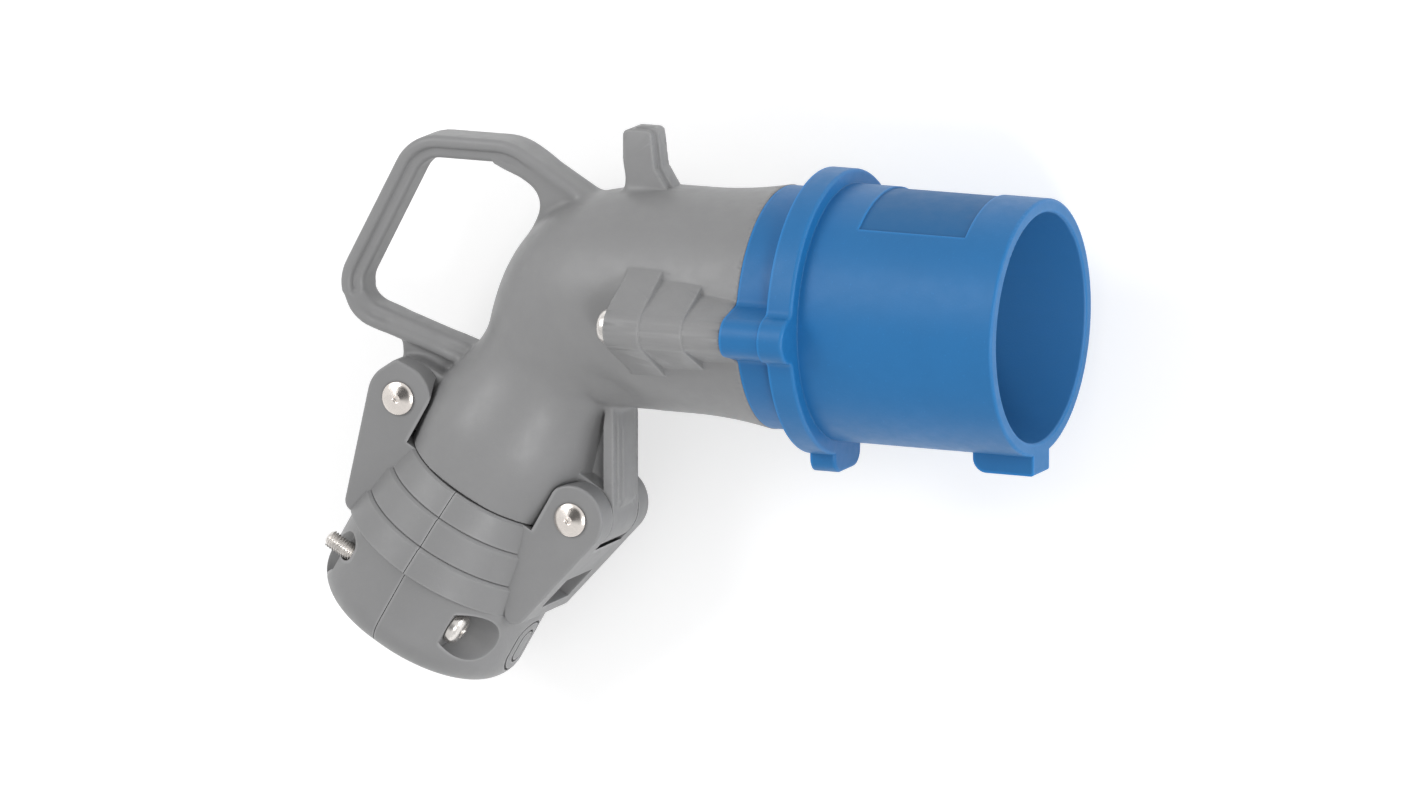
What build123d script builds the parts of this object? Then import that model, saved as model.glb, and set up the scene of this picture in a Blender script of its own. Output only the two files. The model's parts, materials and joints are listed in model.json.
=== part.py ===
"""Industrial pin and sleeve plug, 63 A class, with an elbow housing and a hinged cable clamp.

The plug is modelled with its axis along X, the rim of the sleeve at X = 0 and the handle
towards +Y. It is then turned about that axis until it lies on its side boss and its clamp.
"""
import os
from math import asin, cos, degrees, radians, sin, sqrt, tan

from build123d import *

# Sleeve
sleeve_stand = 1.9
sleeve_wall = 3.85
sleeve_floor = -61.5
rim_round = 0.8
label_depth = 0.5
label_front = -13.5
label_back = -45.0
label_arc = 77.0

# Keyway nose under the rim
key_length = 18.0
key_width = 11.0
key_stand = 5.0
key_back_round = 4.0
key_front_round = 0.8

# Flange, neck and joint face
flange_front = -57.5
flange_thickness = 7.5
flange_stand = 4.0
flange_round = 0.9
tab_width = 18.0
tab_stand = 4.5
tab_round = 4.5
neck_wall = 3.4
joint_face = -76.5
lip_thickness = 2.5
lip_overlap = 2.2
carrier_inset = 1.1
spigot_foot = 2.0

# Side screw bosses
boss_stand = 8.4
boss_level = -1.3
boss_crest = 6.3
boss_bases = (16.8, 15.6, 14.0)
lobe_base = 11.5
lobe_blend = 2.4
boss_base_offset = 20.0
boss_back = -111.0
boss_breaks = (-100.5, -88.0)
boss_step_drop = 0.6

# Housing barrel and elbow
barrel_radius = 31.3
flare_stand = 0.2
flare_start = -101.0
wall = 3.2
elbow_x = -133.3
exit_angle = 60.0
bend_reach = 23.0
elbow_drops = (0.0, 0.8, 2.7, 6.1, 9.7)
elbow_shifts = (0.0, 0.8, 2.5, 1.9, 0.0)
shoulder_at = 46.0
shoulder_radius = 25.6
mouth_at = 62.6
mouth_radius = 24.8
neck_length = 7.4
clamp_neck_radius = 22.6

# Handle
handle_width = 12.6
handle_depth = 6.4
grip_rib_width = 9.4
grip_rib_inset = 1.0
handle_path = ((-165.0, -22.0), (-209.3, -7.6), (-185.4, 37.9), (-157.7, 37.9), (-126.5, 19.8))
handle_bends = (9.5, 11.0, 14.0)
gusset_top = ((-134.0, 26.4), (-163.5, 36.5), (-162.2, 34.5), (-157.1, 32.1))
gusset_arc = ((-152.2, 29.3), (-149.6, 20.5))
gusset_base = ((-153.5, 12.0), (-140.0, 5.0))
web_outline = ((-192.0, -14.5), (-191.2, -24.0), (-187.0, -32.0), (-170.0, -40.0), (-160.0, -20.0))

# Tab on top of the barrel
latch_back = -123.0
latch_height = 15.7
latch_length = 8.2
latch_width = 10.0
latch_round = 1.6
latch_gusset = (5.2, 10.5)
latch_rib_width = 4.6
latch_rib_stand = 1.1

# Strut, lugs and hinge pins
hinge_at = 53.6
hinge_offset = 30.1
lug_radius = 9.6
lug_width = 17.0
strut_thickness = 3.0
strut_ribs = ((0.6, 2.4), (1.2, 4.6))
rib_thickness = 5.0
pin_radius = 3.2
pin_head_radius = 4.7
pin_head_height = 1.5
ear_width = 32.0
side_clearance = 0.35
slot_clearance = 0.8
spout_clearance = 1.4
running_fit = 0.05

# Clamp jaws
band_tops = (63.0, 71.5, 81.0)
band_length = 8.6
band_radii = ((25.3, 27.0), (27.8, 28.9), (29.7, 31.0))
ring_radius = 29.0
ring_overhang = 2.4
ring_length = 24.9
ring_round = 9.0
jaw_bore = 23.2
screw_bore = 14.5
cable_radius = 11.0
grip_length = 9.5
parting_gap = 0.2
band_groove = 0.45
ear_pocket = (72.0, 83.0)
ear_pocket_floor = 27.5
ear_corner = 3.2
ear_edge = 31.1
ear_edge_lead = 1.3
ear_slot_length = 30.0
ear_top_at = 46.8
ear_top_offset = 34.8
ear_top_round = 2.4

# Clamp screws and nuts
clamp_screw_drop = 8.4
clamp_screw_side = 20.0
screw_radius = 2.5
screw_hole = 2.85
head_radius = 4.75
head_height = 3.3
head_seat = 16.8
head_pocket = 6.9
tip_at = -24.8
nut_across_flats = 8.0
nut_height = 4.0
nut_seat = -9.0
nut_slot_inner = 8.0
nut_gap = 0.3
nut_play = 0.6
jaw_swing = 4.0
spot_radius = 4.8
spot_at = -21.6
spot_run = (6.5, 6.5)
oval_drop = 1.5
ovals = ((17.0, 12.0), (11.0, 6.5))
oval_line = 1.3
oval_depth = 1.1
sleeve_screw_length = 50.0
band_edge = 0.7

# Insert and contact pins
terminal_clearance = 1.8
contact_radius = 4.0
earth_radius = 5.0
pilot_radius = 3.0
contact_tip = -23.5
pilot_tip = -28.5
collar_extra = 3.0
root_extra = 0.6
collar_front = -66.0
collar_length = 3.2
plate_thickness = 3.7
terminal_radius = 6.2
pilot_terminal_radius = 4.4
terminal_end = -92.0
wire_wall = 2.0
wire_depth = 14.0
terminal_screw_at = -87.0
terminal_screw_radii = {"earth": 3.0, "line": 3.0, "neutral": 3.0, "pilot": 2.0}
terminal_screw_stand = 1.6
carrier_screw_grip = 4.4
carrier_screw_offset = 23.0
carrier_screw_radius = 2.0
fit_gap = 0.1

# Seal and gasket
seal_length = 18.0
seal_flange = 2.6
gasket_thickness = 1.6
gasket_depth = 2.0

# Values worked out from the sizes above
carrier_radius = barrel_radius - carrier_inset
lip_radius = carrier_radius - lip_overlap
neck_radius = carrier_radius + neck_wall
flare_radius = neck_radius + flare_stand
sleeve_radius = neck_radius + sleeve_stand
flange_radius = sleeve_radius + flange_stand
tab_reach = flange_radius + tab_stand
key_top = sleeve_radius + key_stand
boss_offset = barrel_radius + boss_stand
latch_top = barrel_radius + latch_height
elbow_radii = [barrel_radius - drop for drop in elbow_drops]
pitch_radius = barrel_radius - wall - terminal_radius - terminal_screw_stand - terminal_clearance
band_bottom = band_tops[-1] + band_length
ring_bottom = band_bottom + ring_length
clamp_screw_at = band_bottom + clamp_screw_drop
oval_at = clamp_screw_at + oval_drop
sleeve_bore = sleeve_radius - sleeve_wall
flange_back = flange_front - flange_thickness
barrel_end = elbow_x + bend_reach
bend_radius = bend_reach / tan(radians(exit_angle / 2))
spigot_outer = carrier_radius - 0.3
spigot_inner = spigot_outer - 2.1
carrier_rim = sleeve_floor - lip_thickness
plate_front = collar_front - collar_length
plate_back = plate_front - plate_thickness
spigot_end = plate_back - fit_gap
neck_bore = carrier_radius + 0.2
neck_end = mouth_at + neck_length
exit_x = -cos(radians(exit_angle))
exit_y = -sin(radians(exit_angle))
swing_drift = hinge_offset * tan(radians(jaw_swing))
nut_drift = (hinge_offset + nut_seat) * tan(radians(jaw_swing))
nut_corners = nut_across_flats / cos(radians(30))
seal_radius = clamp_neck_radius - wall + 0.1


def exit_point(along, across=0.0):
    """Point in the middle plane, measured along the exit axis and across it"""
    x = elbow_x + along * exit_x - across * exit_y
    y = along * exit_y + across * exit_x
    return (x, y, 0)


# Measured along the exit axis and across it, towards the strut
exit_side = Plane(origin=(elbow_x, 0, 0), x_dir=(exit_x, exit_y, 0), z_dir=(0, 0, 1))
exit_axis = Axis((elbow_x, 0, 0), (exit_x, exit_y, 0))


def parting_plane(side):
    """Plane just off the exit axis where a jaw ends, facing into that jaw"""
    across = (-side * exit_y, side * exit_x, 0)
    return Plane(origin=exit_point(0, side * parting_gap / 2), x_dir=(0, 0, 1), z_dir=across)


def cross_plane(side):
    """Plane square to a clamp screw, its axis pointing from the thread to the head"""
    x, y, z = exit_point(clamp_screw_at)
    origin = (x, y, side * clamp_screw_side)
    return Plane(origin=origin, x_dir=(exit_x, exit_y, 0), z_dir=(-exit_y, exit_x, 0))


def elbow_plane(share, shift):
    """Plane square to the elbow's bend at a share of its turn, moved outwards by a shift"""
    angle = radians(share * exit_angle)
    x = barrel_end - (bend_radius + shift) * sin(angle)
    y = (bend_radius + shift) * cos(angle) - bend_radius
    return Plane(origin=(x, y, 0), x_dir=(0, 0, 1), z_dir=(-cos(angle), -sin(angle), 0))


def elbow_sections(inset):
    """Circles square to the elbow, narrowing towards the spout"""
    sections = []
    for step, (radius, shift) in enumerate(zip(elbow_radii, elbow_shifts)):
        with BuildSketch(elbow_plane(step / (len(elbow_radii) - 1), shift)) as section:
            Circle(radius - inset)
        sections.append(section.sketch)
    return sections


def boss_outline(plane, side, base, drop=0.0):
    """Rounded ridge over a screw, with flanks that run into the barrel"""
    with BuildSketch(plane) as outline:
        with Locations((boss_level, side * boss_offset)):
            Circle(boss_crest - drop)
        with Locations((boss_level, side * boss_base_offset)):
            Circle(base - drop)
        make_hull()
    return outline.sketch


def corners_on(points, radius):
    """Those points that lie on a circle and away from its top and foot"""
    return [p for p in points if abs(sqrt(p.X**2 + p.Y**2) - radius) < 0.01 and abs(p.Y) > radius / 2]


def resting_lean():
    """Angle about the plug's axis at which a side boss and the clamp's ring touch one plane"""
    core = ring_radius - ring_round
    ring_down = -exit_y * (ring_bottom - ring_round) - exit_x * ring_overhang
    angle = 0.0
    for _ in range(20):
        boss_drop = boss_offset * cos(angle) - boss_level * sin(angle) + boss_crest
        ring_drop = core * sqrt(1 - (exit_y * sin(angle)) ** 2) + ring_round
        angle = asin((boss_drop - ring_drop) / ring_down)
    return angle


lean = resting_lean()

# Housing
with BuildPart() as housing:
    # Barrel, flared to meet the neck of the sleeve
    with BuildSketch(Plane.XY):
        with BuildLine():
            Line((barrel_end, barrel_radius), (flare_start, barrel_radius))
            TangentArc((flare_start, barrel_radius), (joint_face, flare_radius), tangent=(1, 0))
            Polyline(
                (joint_face, flare_radius),
                (joint_face, 0),
                (barrel_end, 0),
                (barrel_end, barrel_radius),
            )
        make_face()
    revolve(axis=Axis.X)
    loft(sections=elbow_sections(0))

    # Spout with its soft shoulder and the neck that the jaws close round
    with BuildSketch(exit_side):
        with BuildLine():
            Spline(
                (bend_reach, elbow_radii[-1]),
                (shoulder_at, shoulder_radius),
                (mouth_at, mouth_radius),
                tangents=((1, -0.15), (1, -0.08)),
            )
            Polyline(
                (mouth_at, mouth_radius),
                (mouth_at, clamp_neck_radius),
                (neck_end, clamp_neck_radius),
                (neck_end, 0),
                (bend_reach, 0),
                (bend_reach, elbow_radii[-1]),
            )
        make_face()
    revolve(axis=exit_axis)

    # Side bosses, lower at each step towards the sleeve
    boss_starts = (boss_back,) + boss_breaks
    boss_ends = boss_breaks + (joint_face,)
    for step, (start, end) in enumerate(zip(boss_starts, boss_ends)):
        for side in (1, -1):
            outline = boss_outline(Plane.YZ.offset(start), side, boss_bases[step], step * boss_step_drop)
            extrude(outline, amount=end - start)

    # Lugs that carry the hinge pins, each run into the spout
    for side in (1, -1):
        with BuildSketch(exit_side):
            with Locations((hinge_at, side * hinge_offset)):
                Circle(lug_radius)
            with Locations((hinge_at - 3, side * hinge_offset / 2)):
                Circle(lug_radius - 2.5)
            make_hull()
        extrude(amount=lug_width / 2, both=True)

    # Strut below the barrel, a flange with a rib behind it
    strut_x = exit_point(hinge_at, hinge_offset)[0] + lug_radius
    strut_y = exit_point(hinge_at, hinge_offset)[1]
    strut_top = -barrel_radius + wall
    with BuildSketch(Plane.XY):
        with BuildLine():
            Polyline(
                (strut_x, strut_top),
                (strut_x, strut_y),
                (strut_x - strut_thickness, strut_y),
                (strut_x - strut_thickness, strut_top),
                close=True,
            )
        make_face()
    extrude(amount=lug_width / 2, both=True)
    for stand, inset in strut_ribs:
        with BuildSketch(Plane.XY):
            with BuildLine():
                Polyline(
                    (strut_x + stand, strut_top),
                    (strut_x + stand, strut_y + 4),
                    (strut_x - 1, strut_y),
                    (strut_x - 1, strut_top),
                    close=True,
                )
            make_face()
        extrude(amount=lug_width / 2 - inset, both=True)
    with BuildSketch(Plane.XY):
        with BuildLine():
            Polyline(
                (strut_x - 1, strut_top + 4),
                (strut_x - 1, strut_y),
                exit_point(hinge_at - 3, hinge_offset / 2)[:2],
                (elbow_x - 4, strut_top + 12),
                close=True,
            )
        make_face()
    extrude(amount=rib_thickness / 2, both=True)

    # Handle, a wide outer band with a narrower rib inside it
    with BuildLine() as grip_path:
        FilletPolyline(*handle_path, radius=list(handle_bends))
    grip_plane = Plane(origin=grip_path.line @ 0, x_dir=(0, 0, 1), z_dir=grip_path.line % 0)
    with BuildSketch(grip_plane):
        with Locations((0, -handle_depth / 4)):
            RectangleRounded(handle_width, handle_depth / 2 + 0.4, 1.7)
        with Locations((0, grip_rib_inset)):
            RectangleRounded(grip_rib_width, handle_depth - 2 * grip_rib_inset, 1.6)
    sweep(path=grip_path.line)

    # Gussets at the two ends of the handle
    with BuildSketch(Plane.XY):
        with BuildLine():
            Polyline(*gusset_top, gusset_arc[0])
            TangentArc(*gusset_arc, tangent=(0.866, -0.5))
            Polyline(gusset_arc[1], *gusset_base, gusset_top[0])
        make_face()
    extrude(amount=grip_rib_width / 2, both=True)
    with BuildSketch(Plane.XY):
        with BuildLine():
            Polyline(*web_outline, close=True)
        make_face()
    extrude(amount=rib_thickness / 2, both=True)

    # Tab on top, with a gusset towards the sleeve
    latch_front = latch_back + latch_length
    latch_foot = latch_front + latch_gusset[0]
    with BuildSketch(Plane.XY):
        with BuildLine():
            Polyline(
                (latch_back, barrel_radius - wall),
                (latch_back, latch_top),
                (latch_front, latch_top),
                (latch_front + 1.3, latch_top - latch_gusset[1]),
                (latch_foot, barrel_radius - 1),
                (latch_foot, barrel_radius - wall),
                close=True,
            )
        make_face()
        fillet(vertices().group_by(Axis.Y)[-1], latch_round)
    extrude(amount=latch_width / 2, both=True)
    with BuildSketch(Plane.XY):
        with BuildLine():
            Polyline(
                (latch_back + 2, barrel_radius - wall),
                (latch_back + 2, latch_top + latch_rib_stand / 2),
                (latch_front + latch_rib_stand, latch_top + latch_rib_stand / 2),
                (latch_front + 1.3 + latch_rib_stand, latch_top - latch_gusset[1]),
                (latch_foot + latch_rib_stand, barrel_radius - 1),
                (latch_foot + latch_rib_stand, barrel_radius - wall),
                close=True,
            )
        make_face()
        fillet(vertices().group_by(Axis.Y)[-1], latch_round)
    extrude(amount=latch_rib_width / 2, both=True)

    # Hollow inside for the terminals and the cable
    loft(sections=elbow_sections(wall), mode=Mode.SUBTRACT)
    with BuildSketch(Plane.YZ.offset(barrel_end)):
        Circle(barrel_radius - wall)
    extrude(amount=joint_face - barrel_end + 1, mode=Mode.SUBTRACT)
    with BuildSketch(exit_side):
        with BuildLine():
            Polyline(
                (bend_reach, 0),
                (bend_reach, elbow_radii[-1] - wall),
                (shoulder_at + 4, seal_radius),
                (neck_end + 1, seal_radius),
                (neck_end + 1, 0),
                close=True,
            )
        make_face()
    revolve(axis=exit_axis, mode=Mode.SUBTRACT)

    # Spigot that enters the neck of the sleeve
    with BuildSketch(Plane.YZ.offset(joint_face - spigot_foot)):
        Circle(barrel_radius - wall / 2)
        Circle(spigot_inner, mode=Mode.SUBTRACT)
    extrude(amount=spigot_foot)
    with BuildSketch(Plane.YZ.offset(joint_face)):
        Circle(spigot_outer)
        Circle(spigot_inner, mode=Mode.SUBTRACT)
    extrude(amount=spigot_end - joint_face)

    # Holes for the sleeve screws and the hinge pins
    with BuildSketch(Plane.YZ.offset(boss_back - 1)):
        with Locations((boss_level, boss_offset), (boss_level, -boss_offset)):
            Circle(screw_hole)
    extrude(amount=joint_face - boss_back + 2, mode=Mode.SUBTRACT)
    with BuildSketch(exit_side):
        with Locations((hinge_at, hinge_offset), (hinge_at, -hinge_offset)):
            Circle(pin_radius + running_fit)
    extrude(amount=lug_width, both=True, mode=Mode.SUBTRACT)
housing.part.label = "housing"

# Sleeve
with BuildPart() as sleeve:
    # Flange with a lobe over each screw and the tab at its foot
    with BuildSketch(Plane.YZ.offset(flange_back)):
        Circle(flange_radius)
        for side in (1, -1):
            add(boss_outline(Plane.XY, side, lobe_base))
        fillet(corners_on(vertices(), flange_radius), lobe_blend)
        with Locations((-tab_reach / 2, 0)):
            Rectangle(tab_reach, tab_width)
        fillet(vertices().group_by(Axis.X)[0], tab_round)
    extrude(amount=flange_thickness)
    fillet(faces().sort_by(Axis.X)[-1].edges(), flange_round)

    # Neck with the ridges that carry on from the lobes
    with BuildSketch(Plane.YZ.offset(joint_face)):
        Circle(neck_radius)
        for side in (1, -1):
            add(boss_outline(Plane.XY, side, lobe_base, boss_step_drop))
        fillet(corners_on(vertices(), neck_radius), lobe_blend)
    extrude(amount=flange_back - joint_face)

    # Sleeve with eased rim
    with BuildSketch(Plane.XY):
        with BuildLine():
            Polyline(
                (0, sleeve_bore),
                (0, sleeve_radius),
                (flange_back, sleeve_radius),
                (flange_back, sleeve_bore),
                close=True,
            )
        make_face()
        fillet(vertices().group_by(Axis.X)[-1], rim_round)
    revolve(axis=Axis.X)

    # Key under the rim
    with BuildSketch(Plane.XY):
        with BuildLine():
            Polyline(
                (-key_length, -sleeve_bore - 1),
                (-key_length, -key_top),
                (0, -key_top),
                (0, -sleeve_bore - 1),
                close=True,
            )
        make_face()
        fillet(vertices().group_by(Axis.Y)[0].sort_by(Axis.X)[0], key_back_round)
        fillet(vertices().group_by(Axis.Y)[0].sort_by(Axis.X)[-1], key_front_round)
    extrude(amount=key_width / 2, both=True)

    # Clear the bore again, recess the label field and drill for the screws
    with BuildSketch(Plane.YZ.offset(sleeve_floor)):
        Circle(sleeve_bore)
    extrude(amount=-sleeve_floor + 1, mode=Mode.SUBTRACT)
    with BuildSketch(Plane.YZ.offset(sleeve_floor)):
        Circle(lip_radius)
    extrude(amount=-lip_thickness, mode=Mode.SUBTRACT)
    with BuildSketch(Plane.YZ.offset(carrier_rim)):
        Circle(neck_bore)
    extrude(amount=joint_face - carrier_rim - 1, mode=Mode.SUBTRACT)
    with BuildSketch(Plane.YZ.offset(joint_face + gasket_depth)):
        Circle(neck_bore + gasket_thickness)
    extrude(amount=-gasket_depth - 1, mode=Mode.SUBTRACT)
    with BuildSketch(Plane.XY.rotated((-label_arc / 2, 0, 0))):
        with Locations(((label_front + label_back) / 2, sleeve_radius)):
            Rectangle(label_front - label_back, 2 * label_depth)
    revolve(axis=Axis.X, revolution_arc=label_arc, mode=Mode.SUBTRACT)
    with BuildSketch(Plane.YZ.offset(joint_face)):
        with Locations((boss_level, boss_offset), (boss_level, -boss_offset)):
            Circle(screw_radius + fit_gap)
    extrude(amount=flange_front - 2 - joint_face, mode=Mode.SUBTRACT)
sleeve.part.label = "sleeve"


# Clamp jaws, half shells that meet on a plane through the exit axis

def band_outline(side):
    """Half section of the three stepped bands, each with an eased upper edge"""
    points = [(band_tops[0], 0)]
    for top, bottom, (upper, lower) in zip(band_tops, band_tops[1:] + (band_bottom,), band_radii):
        points += [(top, side * (upper - band_edge)), (top + band_edge, side * upper)]
        points += [(bottom - band_groove, side * lower)]
        if bottom < band_bottom:
            points += [(bottom - band_groove / 2, side * (lower - band_groove))]
    points += [(band_bottom, side * (band_radii[-1][1] - band_groove)), (band_bottom, 0)]
    return points


def clamp_jaw(side):
    """Jaw on one side of the exit axis, side 1 towards the strut and -1 towards the handle"""
    ring_plane = Plane(
        origin=exit_point(band_bottom - band_edge), x_dir=(-exit_y, exit_x, 0), z_dir=(exit_x, exit_y, 0)
    )
    stretch = ring_overhang if side > 0 else 0
    with BuildPart() as jaw:
        # Block that carries the two ears, then the end ring and the bands
        with BuildSketch(exit_side):
            with Locations((hinge_at, side * hinge_offset)):
                Circle(lug_radius)
            with Locations((band_bottom - ear_corner, side * (ear_edge - ear_corner) + ear_edge_lead)):
                Circle(ear_corner)
            if side < 0:
                with Locations((ear_top_at, side * ear_top_offset)):
                    Circle(ear_top_round)
            with Locations((band_tops[0] + ear_corner, side * (lug_radius + 7))):
                Circle(ear_corner)
            make_hull()
        extrude(amount=ear_width / 2, both=True)
        fillet(edges().group_by(Axis.Z)[-1], band_edge)
        fillet(edges().group_by(Axis.Z)[0], band_edge)
        with BuildSketch(ring_plane):
            Circle(ring_radius)
            if stretch:
                with Locations((stretch, 0)):
                    Circle(ring_radius)
                with Locations((stretch / 2, 0)):
                    Rectangle(stretch, 2 * ring_radius)
        extrude(amount=ring_bottom - band_bottom + band_edge)
        fillet(edges().group_by(exit_axis)[-1], ring_round)
        with BuildSketch(exit_side):
            with BuildLine():
                Polyline(*band_outline(side), close=True)
            make_face()
        revolve(axis=exit_axis)

        # Room for the spout, the lug and the swing between them
        with BuildSketch(ring_plane.offset(hinge_at - band_bottom - 2 * lug_radius)):
            Circle(shoulder_radius + spout_clearance)
        extrude(amount=band_tops[0] - hinge_at + band_edge + 2 * lug_radius, mode=Mode.SUBTRACT)
        with BuildSketch(exit_side):
            with Locations((hinge_at, side * hinge_offset)):
                Circle(lug_radius + slot_clearance)
            with Locations((band_tops[0] - ear_slot_length / 2, side * hinge_offset / 2)):
                Rectangle(ear_slot_length, hinge_offset)
            if side < 0:
                with Locations((ear_top_at, side * ear_top_offset)):
                    Circle(ear_top_round + 2 * slot_clearance)
            with Locations((sum(ear_pocket) / 2, side * ear_pocket_floor * 1.5)):
                Rectangle(ear_pocket[1] - ear_pocket[0], ear_pocket_floor)
        extrude(amount=lug_width / 2 + side_clearance, both=True, mode=Mode.SUBTRACT)

        # Hollow that narrows from the neck of the spout to the cable
        with BuildSketch(exit_side):
            with BuildLine():
                Polyline(
                    (band_tops[0] - 1, 0),
                    (band_tops[0] - 1, side * jaw_bore),
                    (band_tops[2] + 4, side * jaw_bore),
                    (band_bottom + 1, side * screw_bore),
                    (ring_bottom - grip_length, side * screw_bore),
                    (ring_bottom - grip_length, side * cable_radius),
                    (ring_bottom + 1, side * cable_radius),
                    (ring_bottom + 1, 0),
                    close=True,
                )
            make_face()
        revolve(axis=exit_axis, mode=Mode.SUBTRACT)
        split(bisect_by=parting_plane(side), keep=Keep.TOP)

        # Hinge hole, screw slots, and either head pockets or nut pockets
        with BuildSketch(exit_side):
            with Locations((hinge_at, side * hinge_offset)):
                Circle(pin_radius + running_fit)
        extrude(amount=ear_width, both=True, mode=Mode.SUBTRACT)
        for level in (1, -1):
            screw_plane = cross_plane(level)
            with BuildSketch(screw_plane):
                with Locations((-swing_drift / 2, 0)):
                    SlotCenterToCenter(swing_drift, 2 * screw_hole)
            extrude(amount=side * 2 * ring_radius, mode=Mode.SUBTRACT)
            if side > 0:
                with BuildSketch(screw_plane.offset(head_seat)):
                    Circle(head_pocket)
                extrude(amount=ring_radius, mode=Mode.SUBTRACT)
            else:
                nut_side = nut_across_flats / 2 + nut_gap
                slot_reach = clamp_screw_side - nut_slot_inner
                with BuildSketch(screw_plane.offset(nut_seat + nut_play)):
                    with Locations((-nut_drift / 2, level * (slot_reach - nut_side) / 2)):
                        Rectangle(nut_corners + 2 * nut_gap + nut_drift, slot_reach + nut_side)
                extrude(amount=-nut_height - 2 * nut_play, mode=Mode.SUBTRACT)
                with BuildSketch(screw_plane.offset(spot_at)):
                    Circle(spot_radius)
                    with Locations((spot_run[0], level * spot_run[1])):
                        Circle(spot_radius)
                    make_hull()
                extrude(amount=-ring_radius, mode=Mode.SUBTRACT)

        # Moulded ovals on the end of the lower jaw
        if side > 0:
            oval_point = exit_point(oval_at, ring_radius + stretch)
            with BuildSketch(Plane(oval_point, x_dir=(exit_x, exit_y, 0), z_dir=(-exit_y, exit_x, 0))):
                for length, width in ovals:
                    SlotOverall(length, width)
                    SlotOverall(length - oval_line, width - oval_line, mode=Mode.SUBTRACT)
            extrude(amount=-oval_depth, mode=Mode.SUBTRACT)
    return jaw


lower_jaw = clamp_jaw(1)
lower_jaw.part.label = "lower_jaw"
upper_jaw = clamp_jaw(-1)
upper_jaw.part.label = "upper_jaw"


def hinge_pin(side):
    """Turned pin with a low domed head, ringed and dimpled"""
    x, y, _ = exit_point(hinge_at, side * hinge_offset)
    head_base = ear_width / 2 + fit_gap
    with BuildPart() as pin:
        with BuildSketch(Plane(origin=(x, y, 0), x_dir=(1, 0, 0), z_dir=(0, -1, 0))):
            with BuildLine():
                Polyline(
                    (0, -ear_width / 2),
                    (pin_radius - 0.5, -ear_width / 2),
                    (pin_radius, -ear_width / 2 + 0.5),
                    (pin_radius, head_base),
                    (pin_head_radius, head_base),
                    (pin_head_radius, head_base + pin_head_height / 2),
                    (pin_head_radius / 3, head_base + pin_head_height),
                    (pin_head_radius / 4, head_base + pin_head_height / 2),
                    (0, head_base + pin_head_height / 2),
                    close=True,
                )
            make_face()
        revolve(axis=Axis((x, y, 0), (0, 0, 1)))
    return pin


lower_hinge_pin = hinge_pin(1)
lower_hinge_pin.part.label = "lower_hinge_pin"
upper_hinge_pin = hinge_pin(-1)
upper_hinge_pin.part.label = "upper_hinge_pin"


def pan_head_screw(seat, length, radius, top_radius, height):
    """Screw standing on its seat plane, with a cross recess and its shank below"""
    with BuildPart() as screw:
        with BuildSketch(seat):
            Circle(top_radius)
        extrude(amount=height)
        fillet(faces().sort_by(Axis(seat.origin, seat.z_dir))[-1].edges(), height / 2.2)
        with BuildSketch(seat):
            Circle(radius)
        extrude(amount=-length)
        with BuildSketch(seat.offset(height)):
            Rectangle(1.6 * radius, 0.36 * radius)
            Rectangle(0.36 * radius, 1.6 * radius)
        extrude(amount=-height / 2, mode=Mode.SUBTRACT)
    return screw


def hexagon_nut(side):
    """Captive nut, its flats towards the sides of the pocket"""
    with BuildPart() as nut:
        with BuildSketch(cross_plane(side).offset(nut_seat)):
            RegularPolygon(nut_across_flats / 2, 6, major_radius=False)
            Circle(screw_radius + running_fit, mode=Mode.SUBTRACT)
        extrude(amount=-nut_height)
    return nut


def clamp_screw(level):
    """Long screw that draws the two jaws together"""
    seat = cross_plane(level).offset(head_seat + fit_gap)
    return pan_head_screw(seat, head_seat - tip_at, screw_radius, head_radius, head_height)


near_clamp_screw = clamp_screw(1)
near_clamp_screw.part.label = "near_clamp_screw"
far_clamp_screw = clamp_screw(-1)
far_clamp_screw.part.label = "far_clamp_screw"
near_clamp_nut = hexagon_nut(1)
near_clamp_nut.part.label = "near_clamp_nut"
far_clamp_nut = hexagon_nut(-1)
far_clamp_nut.part.label = "far_clamp_nut"


def sleeve_screw(side):
    """Screw behind a side boss, through the housing into the sleeve"""
    seat = Plane(origin=(boss_back, boss_level, side * boss_offset), x_dir=(0, 1, 0), z_dir=(-1, 0, 0))
    return pan_head_screw(seat, sleeve_screw_length, screw_radius, head_radius, head_height)


near_sleeve_screw = sleeve_screw(1)
near_sleeve_screw.part.label = "near_sleeve_screw"
far_sleeve_screw = sleeve_screw(-1)
far_sleeve_screw.part.label = "far_sleeve_screw"

# Gasket round the spigot, and the seal in the mouth of the spout
with BuildPart() as sleeve_gasket:
    with BuildSketch(Plane.YZ.offset(joint_face)):
        Circle(neck_bore + gasket_thickness - fit_gap)
        Circle(spigot_outer + fit_gap, mode=Mode.SUBTRACT)
    extrude(amount=gasket_depth - fit_gap)
sleeve_gasket.part.label = "sleeve_gasket"

with BuildPart() as cable_seal:
    with BuildSketch(exit_side):
        with BuildLine():
            Polyline(
                (neck_end - seal_length, cable_radius - 0.4),
                (neck_end - seal_length, seal_radius - 2),
                (neck_end - seal_length + 3, seal_radius - fit_gap),
                (neck_end, seal_radius - fit_gap),
                (neck_end, clamp_neck_radius),
                (neck_end + seal_flange, clamp_neck_radius),
                (neck_end + seal_flange + 2, cable_radius + 2),
                (neck_end + seal_flange + 2, cable_radius - 0.4),
                close=True,
            )
        make_face()
    revolve(axis=exit_axis)
cable_seal.part.label = "cable_seal"

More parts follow.
